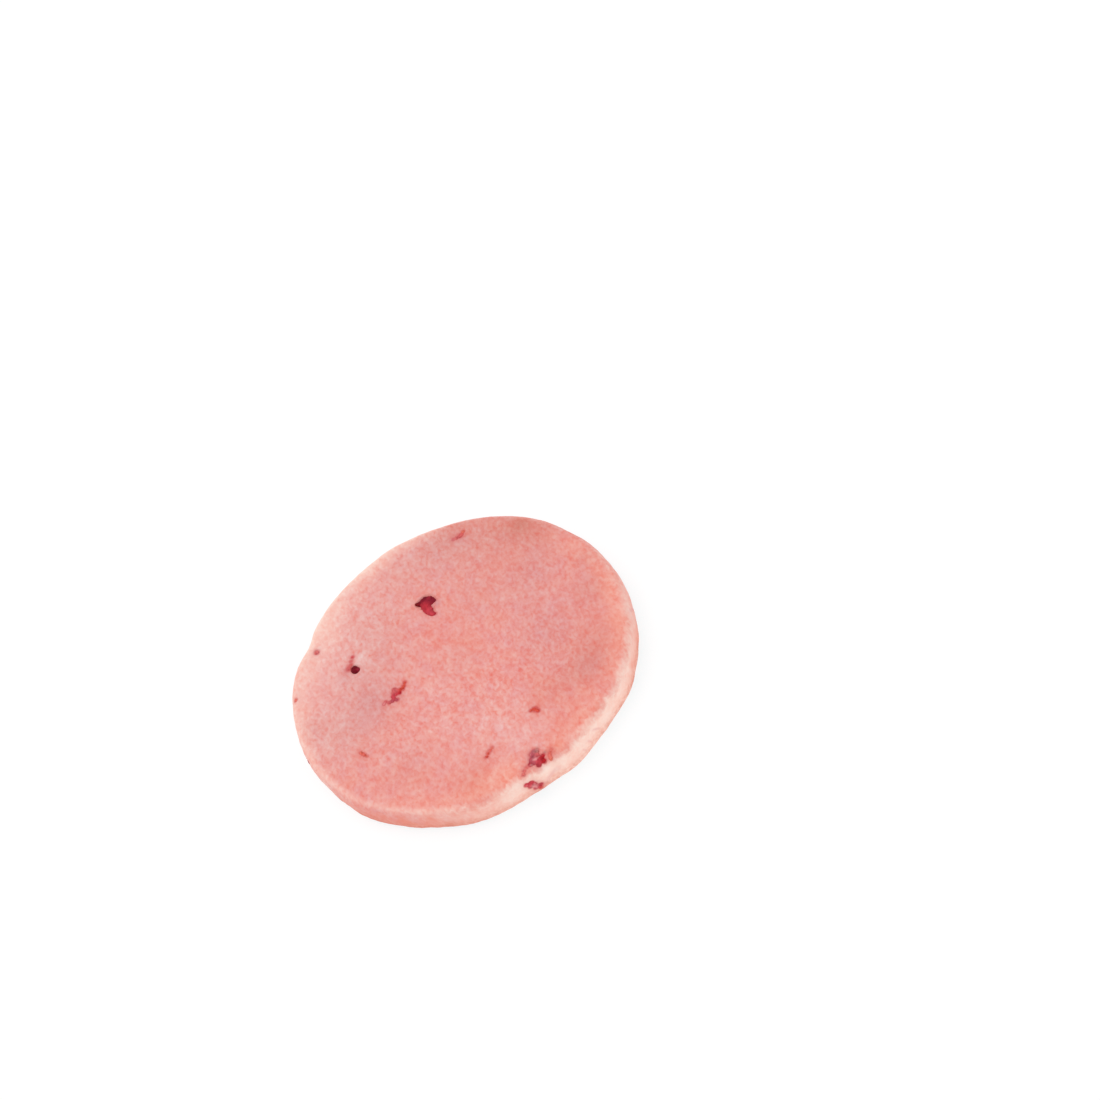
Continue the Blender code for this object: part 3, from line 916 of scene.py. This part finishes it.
# Blotches of the side: direction and height, radius and strength
SIDE_PATCHES = {
    "side_warm": (
        (224.8, 2.6, 1.2, 0.7), (217, 3, 1, 0.4), (235, 3.2, 0.9, 0.6), (243.2, 3.5, 0.6, 0.3),
        (249.5, 3.8, 0.6, 0.4), (233, 1.4, 1.4, 0.4), (323, 1.6, 1.4, 0.3), (320, 2.6, 1.2, 0.4),
        (331, 1.6, 1.8, 0.4), (256.5, 4.2, 0.8, 0.3), (20, 2.2, 2, 0.4), (57, 2.6, 1.6, 0.4),
        (96, 1.8, 1.5, 0.4), (140, 2.4, 1.8, 0.4), (176, 1.8, 1.4, 0.4),
    ),
    # The light blotches are partly pale crumb and partly painted highlights on the side's lumps
    "side_light": (
        (260.5, 2.8, 1.2, 0.4), (264.5, 4.2, 1, 0.5), (274.6, 4, 1, 0.9), (280.5, 3.4, 1.2, 0.4),
        (288, 2.6, 1.2, 0.4), (294.5, 3.4, 0.8, 0.5), (300.5, 2.6, 1.4, 0.6), (311, 3.6, 0.9, 0.3),
        (317.5, 3.8, 0.8, 0.4), (44, 3, 1.2, 0.4), (118, 3.2, 1.5, 0.4), (163, 2.8, 1.3, 0.4),
        (192, 3, 1, 0.4),
    ),
    "side_juice": ((268.6, 2.9, 0.8, 0.5), (269.9, 2.1, 0.8, 0.6), (272, 1.2, 0.8, 0.35)),
    "side_brown": (
        (270.2, 1.1, 0.7, 0.5), (240, 1.2, 1.2, 0.5), (243.6, 0.5, 0.8, 0.5), (249, 0.3, 0.8, 0.5),
        (227, 1, 1.2, 0.4), (317, 0.7, 1, 0.5), (329, 0.7, 1, 0.5), (299, 0.6, 0.8, 0.4),
        (75, 0.7, 1.2, 0.5), (130, 0.8, 1.4, 0.4), (5, 0.8, 1.2, 0.4),
    ),
}

# Juice in the dough: how far a piece's halo reaches, the reach and strength of a fainter one,
# and how far the shades of neighbouring lobes run together in it
STAIN_NEAR = 0.17
STAIN_FAR = (0.8, 0.12)
STAIN_BLEND = 0.15


def rim_values(angle):
    """The values of RIM round the biscuit, one row for each."""
    turns, *columns = zip(*RIM)
    degrees = np.degrees(angle) % 360.0
    return [np.interp(degrees, turns, column, period=360.0) for column in columns]


def face_mask(points, patches):
    """Soft patches of the face."""
    mask = np.zeros(len(points))
    for x, y, radius, amount in patches:
        mask += amount * hill(np.hypot(points[:, 0] - x, points[:, 1] - y), radius)
    return mask


def side_mask(points, patches):
    """Soft blotches of the side."""
    angle = np.arctan2(points[:, 1], points[:, 0])
    mask = np.zeros(len(points))
    for direction, height, radius, amount in patches:
        along = np.radians(angle_gap(angle, direction)) * RADIUS
        mask += amount * hill(np.hypot(along, points[:, 2] - height), radius)
    return mask


def dough_masks(points, way):
    """Where the dough is pale, warm, mauve, browned and so on, painted light and shade among them:
    values by name.
    """
    start, soft, strength, line, foot_darkness, glow = rim_values(np.arctan2(points[:, 1], points[:, 0]))
    wander = layered_noise(points, RIM_WANDER)
    on_face = smooth_step(*FACE_LOOKS, way)
    on_side = smooth_step(*SIDE_LOOKS, way) * smooth_step(BASE_WAY + 1.0, BASE_WAY, way)
    foot = smooth_step(*FOOT_LOOKS, way) * smooth_step(*FOOT_END, way)
    masks = {
        # The pale rim is partly pale crumb and partly painted light; its line is a painted
        # highlight
        "rim_across": ((way - start - wander) / soft).clip(-2.0, 3.0),
        "rim_ragged": RIM_RAGGED / soft,
        "rim_strength": strength,
        "rim_highlight_line": line * hill(way, *RIM_HIGHLIGHT_LINE),
        "rim_glow": glow * hill(way, *RIM_GLOW),
        "dark_foot": foot_darkness * foot,
        # Painted shade in the side's creases, stronger where they are deeper
        "painted_fold_shade": PAINTED_FOLD_SHADE * fold_depth(make_uneven(points)) / PAINTED_FOLD_SHADE_DEPTH,
        "low_side": smooth_step(ROUND_WAY - 0.6, SIDE_WAY, way),
        "base": smooth_step(BASE_WAY - 0.2, BASE_WAY + 0.6, way),
        "base_edge": hill(way, *BASE_RING),
        # Painted shade in the base's pores
        "painted_pore_shade": (2.0 * base_pores(points)).clip(0.0, 1.0),
    }
    for name, patches in PATCHES.items():
        masks[name] = on_face * face_mask(points, patches)
    for name, patches in SIDE_PATCHES.items():
        masks[name] = on_side * side_mask(points, patches)
    return masks


def add_stain(mesh, gaps, pieces):
    """Store how deeply the raspberry pieces stain the dough round them, and in which shade."""
    shades = np.array([SHADES[shade][:3] for lobes in pieces.values() for *_, shade in lobes])
    halos = np.array([FRUIT[name]["halo"] for name, lobes in pieces.items() for _ in lobes])
    gap = gaps.min(1)
    near = (halos * hill(gaps.clip(0.0), STAIN_NEAR)).max(1)
    reach, strength = STAIN_FAR
    add_values(mesh, "stain", near + strength * hill(gap.clip(0.0), reach))
    weight = np.exp(-(gaps - gap[:, None]).clip(0.0, 4.0) / STAIN_BLEND)
    add_colours(mesh, "stain_shade", (weight @ shades) / weight.sum(1)[:, None])


# Flat layout of the dough for baking: middles and sizes of the two discs, and the side's strips
FACE_SPOT = (0.315, 0.315, 0.305)
BASE_SPOT = (0.815, 0.175, 0.165)
STRIPS = 4
STRIP_START = (0.01, 0.66)
STRIP_STEP = 0.085


def lay_out(mesh, true_points, way):
    """Lay the face and the base out flat as discs, and the side as straight strips."""
    layer = mesh.uv_layers.new(name="OFBake")
    corner_point = np.empty(len(mesh.loops), int)
    mesh.loops.foreach_get("vertex_index", corner_point)
    count = np.array([polygon.loop_total for polygon in mesh.polygons])
    corner_face = np.repeat(np.arange(len(count)), count)
    way = way[corner_point]
    x, y = true_points[corner_point, :2].T
    mean_way, mean_x, mean_y = (np.bincount(corner_face, each) / count for each in (way, x, y))
    face_turn = (np.arctan2(mean_y, mean_x) / (2.0 * math.pi)) % 1.0
    turn = (np.arctan2(y, x) / (2.0 * math.pi)) % 1.0
    turn += np.round(face_turn[corner_face] - turn)

    scale = FACE_SPOT[2] / RADIUS
    strip = np.minimum((face_turn * STRIPS).astype(int), STRIPS - 1)[corner_face]
    along = (turn - strip / STRIPS) * 2.0 * math.pi * RADIUS
    column, row = strip % 2, strip // 2
    side_u = STRIP_START[0] + 0.5 * column + along * scale
    side_v = STRIP_START[1] + STRIP_STEP * row + way * scale
    base_scale = BASE_SPOT[2] / RADIUS
    places = [(mean_way < 0.0)[corner_face], (mean_way > BASE_WAY)[corner_face]]
    u = np.select(places, [FACE_SPOT[0] + x * scale, BASE_SPOT[0] - x * base_scale], side_u)
    v = np.select(places, [FACE_SPOT[1] + y * scale, BASE_SPOT[1] + y * base_scale], side_v)
    layer.data.foreach_set("uv", np.stack([u, v], 1).astype(np.float32).ravel())


# Materials


class Nodes:
    """Short ways to add and link the nodes of a material or a group."""

    def __init__(self, tree):
        self.tree = tree

    def add(self, kind, settings=None, **inputs):
        node = self.tree.nodes.new("ShaderNode" + kind)
        for name, value in (settings or {}).items():
            setattr(node, name, value)
        for name, value in inputs.items():
            self.put(node.inputs[name], value)
        return node

    def put(self, socket, value):
        if isinstance(value, bpy.types.NodeSocket):
            self.tree.links.new(value, socket)
        else:
            socket.default_value = value

    def math(self, operation, a, b=0.0, c=0.0, clamp=False):
        node = self.add("Math", {"operation": operation, "use_clamp": clamp})
        for socket, value in zip(node.inputs, (a, b, c)):
            self.put(socket, value)
        return node.outputs[0]

    def mix(self, amount, first, second):
        node = self.add("Mix", {"data_type": "RGBA", "clamp_factor": True})
        sockets = [socket for socket in node.inputs if socket.enabled]
        for socket, value in zip(sockets, (amount, first, second)):
            self.put(socket, value)
        return next(socket for socket in node.outputs if socket.enabled)

    def times(self, a, b, clamp=False):
        return self.math("MULTIPLY", a, b, clamp=clamp)

    def vectors(self, operation, first, second):
        node = self.add("VectorMath", {"operation": operation}, Vector=first)
        self.put(node.inputs[1], second)
        return node.outputs["Vector"]

    def value_of(self, name, output="Fac"):
        """What the mesh stores under that name."""
        return self.add("Attribute", {"attribute_name": name}).outputs[output]

    def spread(self, value, low, high, top=1.0):
        """Turn low to high into 0 to top."""
        limits = {"From Min": low, "From Max": high, "To Max": top}
        return self.add("MapRange", {"clamp": True}, Value=value, **limits).outputs["Result"]

    def noise(self, place, **inputs):
        return self.add("TexNoise", Vector=place, **inputs).outputs["Fac"]

    def lay_over(self, colour, shades):
        """Lay shades over a colour, each where the mesh stores its name."""
        for name, shade in shades.items():
            colour = self.mix(self.value_of(name), colour, shade)
        return colour

    def finish(self, shader, grain, colour, roughness, rougher, strength, depth, shine):
        """Join a colour to the shader, with the roughness and the fine bumps of the grain."""
        self.put(shader.inputs["Base Color"], colour)
        roughness = self.math("MULTIPLY_ADD", grain["Mask"], rougher, roughness)
        self.put(shader.inputs["Roughness"], roughness)
        bump = self.add("Bump", Strength=strength, Distance=depth * MM, Height=grain["Height"])
        self.put(shader.inputs["Normal"], bump.outputs["Normal"])
        shader.inputs["Specular IOR Level"].default_value = shine


# Size of the crumbs in the dough and of the grain in the fruit. The grain is a little longer
# from front to back than across. Share of its coarse clumps. Fine crumbs and patches of tint
# for each crumb's length, and how far the tint is shifted from the crumbs.
DOUGH_GRAIN = 1.5
FRUIT_GRAIN = 1.1
GRAIN_STRETCH = (1.0, 1.5, 1.0)
COARSE_SHARE = 0.55
FINE_RATE = 2.5
TINT_RATE = 0.55
TINT_SHIFT = (17.0, 5.0, 9.0)


def crumb_group():
    """Grain of baked crumb: a mask of lighter and darker crumbs, their tint, and a height."""
    group = bpy.data.node_groups.new("crumb_grain", "ShaderNodeTree")
    group.interface.new_socket("Crumb", in_out="INPUT", socket_type="NodeSocketFloat")
    for name in ("Mask", "Tint", "Height"):
        group.interface.new_socket(name, in_out="OUTPUT", socket_type="NodeSocketFloat")
    nodes = Nodes(group)
    inlet = group.nodes.new("NodeGroupInput")
    outlet = group.nodes.new("NodeGroupOutput")
    in_mm = tuple(1.0 / (MM * stretch) for stretch in GRAIN_STRETCH)
    place = nodes.vectors("MULTIPLY", nodes.add("TexCoord").outputs["Object"], in_mm)
    shifted = nodes.vectors("ADD", place, TINT_SHIFT)
    rate = nodes.math("DIVIDE", 1.0, inlet.outputs["Crumb"])
    fine_rate = nodes.times(rate, FINE_RATE)
    tint_rate = nodes.times(rate, TINT_RATE)
    coarse = nodes.noise(place, Scale=rate, Detail=2.0, Roughness=0.6)
    fine = nodes.noise(place, Scale=fine_rate, Detail=1.6, Roughness=0.55, Distortion=0.4)
    tint = nodes.noise(shifted, Scale=tint_rate, Detail=2.5, Roughness=0.65)
    mask = nodes.math("MULTIPLY_ADD", nodes.math("SUBTRACT", coarse, 0.5), COARSE_SHARE, fine)
    for name, value in (("Mask", mask), ("Tint", tint), ("Height", fine)):
        nodes.put(outlet.inputs[name], value)
    return group


def use_grain(nodes, group, size):
    """What the grain group gives for crumbs of that size."""
    return nodes.add("Group", {"node_tree": group}, Crumb=size).outputs


def new_material(name):
    material = bpy.data.materials.new(name)
    material.use_nodes = True
    shader = material.node_tree.nodes["Principled BSDF"]
    return material, Nodes(material.node_tree), shader


# Shades of the dough
DOUGH = linear(235, 153, 144)
PINK = linear(238, 180, 174)
SALMON = linear(232, 122, 111)
CREAM = linear(255, 228, 216)
PEACH = linear(253, 194, 177)
LOW_PEACH = linear(252, 188, 169)
RIM_WARM = linear(248, 164, 142)
SIDE_SALMON = linear(233, 140, 123)
LILAC_CRUMB = linear(222, 146, 154)
ORANGE_CRUMB = linear(241, 152, 128)
# Darker colour along the foot of the side and over the base's edge
DARK_FOOT_COLOUR = linear(220, 132, 112)
BASE_DARK = linear(208, 128, 104)
BASE_LIGHT = linear(238, 174, 154)
JUICE = linear(207, 98, 99)

# Shades of the patches: those under the pale rim of crumb and painted light, and those over it
UNDER_RIM = {
    "warm": linear(238, 138, 118), "mauve": linear(210, 140, 142), "light": linear(246, 200, 192),
    "brown": linear(206, 120, 106), "dull": linear(214, 152, 146), "peach": PEACH,
}
OVER_RIM = {
    "side_warm": UNDER_RIM["warm"], "side_light": CREAM, "side_brown": linear(228, 138, 116),
    "side_juice": JUICE, "juice": JUICE, "ember": linear(208, 82, 66),
    # The last shade here is painted shade for the side's creases
    "grey": linear(160, 124, 116), "painted_fold_shade": linear(232, 168, 165),
}

# How strongly the grain shows, and how much less low on the side. The part of the grain's mask
# that goes from dark to light crumb, and the strength of its lilac and orange tints.
CRISPNESS = 0.92
LOW_CRISPNESS = -0.15
GRAIN_SPAN = (0.13, 0.87)
TINT_STRENGTH = 0.25

# How strongly the side's own shade shows low down, in the dough and in the pale rim, how much
# of the juice takes the dough's own juice shade, and the mask where the dark foot goes from none to
# full
LOW_SHADE = 0.8
LOW_PALE = 0.6
JUICE_SHARE = 0.75
DARK_FOOT_SPAN = (0.75, 0.25)

# The base: the tint where it goes from light to dark, how strongly its browned edge and the
# painted shade in its pores darken it, and how strongly its crumbs lighten it
BASE_MOTTLE = (0.36, 0.62)
BASE_DARKENING = 0.6
BASE_CRUMBS = 0.35

# The fruit: how strongly its grain shows, and the grain where the veil of dough goes from none
# to twice its strength
FRUIT_CONTRAST = 0.9
VEIL_SPAN = (0.3, 0.7, 2.0)


def share_of(colour, base):
    """A colour as shares of another one, to multiply that one with."""
    return tuple(part / whole for part, whole in zip(colour, base))


def crumb_colour(nodes, tint, light_crumb, low_side):
    """The dough's colour without the pale rim, the base and the juice."""
    colour = nodes.mix(nodes.spread(tint, 0.5, 0.7, TINT_STRENGTH), DOUGH, LILAC_CRUMB)
    colour = nodes.mix(nodes.spread(tint, 0.5, 0.3, TINT_STRENGTH), colour, ORANGE_CRUMB)
    colour = nodes.lay_over(colour, UNDER_RIM)
    colour = nodes.mix(low_side, colour, SIDE_SALMON)
    colour = nodes.mix(nodes.value_of("rim_glow"), colour, RIM_WARM)
    shares = nodes.mix(light_crumb, share_of(SALMON, DOUGH), share_of(PINK, DOUGH))
    return nodes.vectors("MULTIPLY", colour, shares)


def pale_rim(nodes, colour, mask, light_crumb, low_side):
    """Lay the pale rim, partly pale crumb and partly painted light, over a colour. The grain makes
    its border ragged.
    """
    ragged = nodes.math(
        "MULTIPLY_ADD", nodes.math("SUBTRACT", mask, 0.5), nodes.value_of("rim_ragged"),
        nodes.value_of("rim_across"),
    )
    pale = nodes.times(nodes.spread(ragged, 0.0, 1.0), nodes.value_of("rim_strength"))
    pale = nodes.math("ADD", pale, nodes.value_of("rim_highlight_line"), clamp=True)
    shade = nodes.mix(light_crumb, PEACH, CREAM)
    shade = nodes.mix(nodes.times(low_side, LOW_PALE), shade, LOW_PEACH)
    return nodes.mix(pale, colour, shade)


def base_colour(nodes, tint, light_crumb):
    """The mottled brown of the base, darker at its browned edge, with painted shade in its pores.
    """
    colour = nodes.mix(nodes.spread(tint, *BASE_MOTTLE), BASE_LIGHT, BASE_DARK)
    for name in ("base_edge", "painted_pore_shade"):
        darker = nodes.times(nodes.value_of(name), BASE_DARKENING)
        colour = nodes.mix(darker, colour, BASE_DARK)
    return nodes.mix(nodes.times(light_crumb, BASE_CRUMBS), colour, BASE_LIGHT)


def dough_material(crumb):
    material, nodes, shader = new_material("raspberry_dough")
    grain = use_grain(nodes, crumb, DOUGH_GRAIN)
    mask, tint = grain["Mask"], grain["Tint"]
    crisp = nodes.math("ADD", nodes.value_of("crisp"), CRISPNESS)
    crisp = nodes.math("MULTIPLY_ADD", nodes.value_of("low_side"), LOW_CRISPNESS, crisp)
    light_crumb = nodes.math("SUBTRACT", nodes.spread(mask, *GRAIN_SPAN), 0.5)
    light_crumb = nodes.math("MULTIPLY_ADD", light_crumb, crisp, 0.5, clamp=True)
    low_side = nodes.times(nodes.value_of("low_side"), LOW_SHADE)
    colour = crumb_colour(nodes, tint, light_crumb, low_side)
    colour = pale_rim(nodes, colour, mask, light_crumb, low_side)
    colour = nodes.lay_over(colour, OVER_RIM)
    colour = nodes.mix(nodes.value_of("base"), colour, base_colour(nodes, tint, light_crumb))
    foot_darkness = nodes.times(nodes.value_of("dark_foot"), nodes.spread(mask, *DARK_FOOT_SPAN))
    colour = nodes.mix(foot_darkness, colour, DARK_FOOT_COLOUR)
    juice = nodes.mix(JUICE_SHARE, nodes.value_of("stain_shade", "Color"), JUICE)
    colour = nodes.mix(nodes.value_of("stain"), colour, juice)
    nodes.finish(
        shader, grain, colour, roughness=0.72, rougher=0.12, strength=0.35, depth=0.03, shine=0.15,
    )
    return material


def raspberry_material(crumb, name, roughness):
    material, nodes, shader = new_material(name)
    grain = use_grain(nodes, crumb, FRUIT_GRAIN)
    mask = grain["Mask"]
    contrast = nodes.math("SUBTRACT", mask, 0.5)
    brightness = nodes.math("MULTIPLY_ADD", contrast, FRUIT_CONTRAST, 1.0)
    shade = nodes.value_of("shade", "Color")
    veil = nodes.times(nodes.value_of("veil"), nodes.spread(mask, *VEIL_SPAN), clamp=True)
    colour = nodes.mix(veil, nodes.vectors("MULTIPLY", shade, brightness), SALMON)
    nodes.finish(
        shader, grain, colour, roughness, rougher=0.3, strength=0.6, depth=0.04, shine=0.03,
    )
    return material


# Floor, light and camera

FLOOR_SIZE = 3.0
FLOOR_SHADE = (0.50, 0.22, 0.20)
FLOOR_GLOW = (0.520, 0.788, 0.807)
FLOOR_ROUGHNESS = 0.9
WORLD_LIGHT = 0.72

# Soft suns: strength, direction and height in degrees, and spread
SUNS = {
    "soft_sun": (0.90, 125.0, 55.0, 60.0),
    "front_fill": (0.45, 295.0, 22.0, 70.0),
}

# The camera's height over the table and turn about its own line of sight, in degrees, its
# distance from the biscuit's middle, and the pixel of that middle in the 1100 pixel picture
CAMERA_HEIGHT = 48.6
CAMERA_ROLL = 32.5
CAMERA_DISTANCE = 507.0
MIDDLE_PIXEL = (463.0, 666.5)
PICTURE_PIXELS = 1100
LENS = 100.0
SENSOR = 36.0


def add_floor():
    bpy.ops.mesh.primitive_plane_add(size=FLOOR_SIZE)
    floor = bpy.context.object
    floor.name = "floor"
    material, _, shader = new_material("white_table")
    shader.inputs["Base Color"].default_value = (*FLOOR_SHADE, 1.0)
    shader.inputs["Roughness"].default_value = FLOOR_ROUGHNESS
    shader.inputs["Emission Color"].default_value = (*FLOOR_GLOW, 1.0)
    shader.inputs["Emission Strength"].default_value = 1.0
    floor.data.materials.append(material)


def add_light():
    world = bpy.data.worlds.new("soft_studio")
    world.use_nodes = True
    background = world.node_tree.nodes["Background"]
    background.inputs["Color"].default_value = (1.0, 1.0, 1.0, 1.0)
    background.inputs["Strength"].default_value = WORLD_LIGHT
    bpy.context.scene.world = world
    for name, (strength, direction, height, spread) in SUNS.items():
        sun = bpy.data.lights.new(name, "SUN")
        sun.energy = strength
        sun.angle = math.radians(spread)
        lamp = link_object(name, sun)
        rise, turn = math.radians(height), math.radians(direction)
        towards = Vector((
            math.cos(rise) * math.cos(turn), math.cos(rise) * math.sin(turn), math.sin(rise),
        ))
        lamp.rotation_mode = "QUATERNION"
        lamp.rotation_quaternion = towards.to_track_quat("Z", "Y")


def add_camera():
    """The camera looks from the front, turned so that the biscuit's middle is at its pixel."""
    height, roll = math.radians(CAMERA_HEIGHT), math.radians(CAMERA_ROLL)
    middle = Vector((0.0, 0.0, 0.5 * THICKNESS))
    back = Vector((0.0, -math.cos(height), math.sin(height)))
    sight = -back
    up = (Vector((0.0, 0.0, 1.0)) - sight * sight.z).normalized()
    half = 0.5 * PICTURE_PIXELS
    ray = Vector((MIDDLE_PIXEL[0] - half, half - MIDDLE_PIXEL[1], -LENS / SENSOR * PICTURE_PIXELS))
    ray.normalize()
    upright = Vector((-math.sin(roll), math.cos(roll), 0.0))
    upright = (upright - ray * upright.dot(ray)).normalized()
    world_axes = Matrix((sight, up, sight.cross(up))).transposed()
    camera_axes = Matrix((ray, upright, ray.cross(upright)))
    data = bpy.data.cameras.new("camera")
    data.lens = LENS
    data.sensor_width = SENSOR
    data.clip_start = 0.01
    camera = link_object("camera", data)
    place = Matrix.Translation((middle + back * CAMERA_DISTANCE) * MM)
    camera.matrix_world = place @ (world_axes @ camera_axes).to_4x4()
    bpy.context.scene.camera = camera


def clear_others():
    """Remove what the open file held before the frame came in."""
    kept = set(frame["nodes"].values()) | set(frame["bodies"].values())
    for obj in list(bpy.data.objects):
        if obj not in kept:
            bpy.data.objects.remove(obj, do_unlink=True)


clear_others()
bpy.context.scene.view_settings.view_transform = "Standard"
add_camera()
add_light()
add_floor()

crumb = crumb_group()
pieces = fruit_lobes()
flesh = [name for name in pieces if name not in SPECKS]
meshes = {
    "dough": dough_mesh(pieces),
    "raspberry_flesh": fruit_kind("raspberry_flesh", flesh, pieces),
    "raspberry_specks": fruit_kind("raspberry_specks", SPECKS, pieces),
}
fit_box(meshes.values(), cad_box)
add_piece("dough", meshes["dough"], dough_material(crumb))
for name, roughness in (("raspberry_flesh", 0.35), ("raspberry_specks", 0.45)):
    add_piece(name, meshes[name], raspberry_material(crumb, name, roughness))
